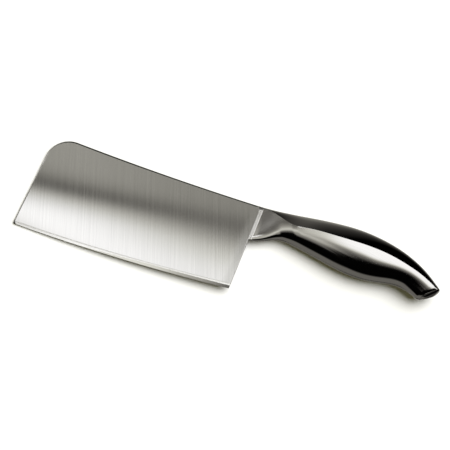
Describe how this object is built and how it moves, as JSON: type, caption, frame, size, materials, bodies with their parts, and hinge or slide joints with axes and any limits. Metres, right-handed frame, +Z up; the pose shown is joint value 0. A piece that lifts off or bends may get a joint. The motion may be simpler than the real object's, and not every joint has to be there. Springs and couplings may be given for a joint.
{
  "type": "chinese cleaver",
  "caption": "Chinese cleaver with a broad brushed steel blade and a curved, polished hollow steel handle, lying on its side.",
  "frame": {"origin": "under the middle of the whole knife's extent, on the plane that its lowest side touches as it lies", "axes": "+X from the blade's front edge to the butt, +Y from the cutting edge to the spine, +Z up, square to the blade's mid-plane"},
  "size_m": [0.3068, 0.0842, 0.02],
  "materials": {
    "blade_steel": "satin, brushed square to the spine",
    "handle_steel": "bright polished with faint lengthwise lines",
    "weld_steel": "ground and polished weld",
    "cap_steel": "bright polished",
    "weight_iron": "as cast"
  },
  "bodies": {
    "root": {"blade": "blade_steel", "neck_weld": "weld_steel", "bolster": "handle_steel", "bolster_weld": "weld_steel", "handle_shell_left": "handle_steel", "handle_shell_right": "handle_steel", "seam_weld_top": "weld_steel", "seam_weld_bottom": "weld_steel", "cap_weld": "weld_steel", "butt_cap": "cap_steel", "balance_weight": "weight_iron"}
  },
  "joints": []
}
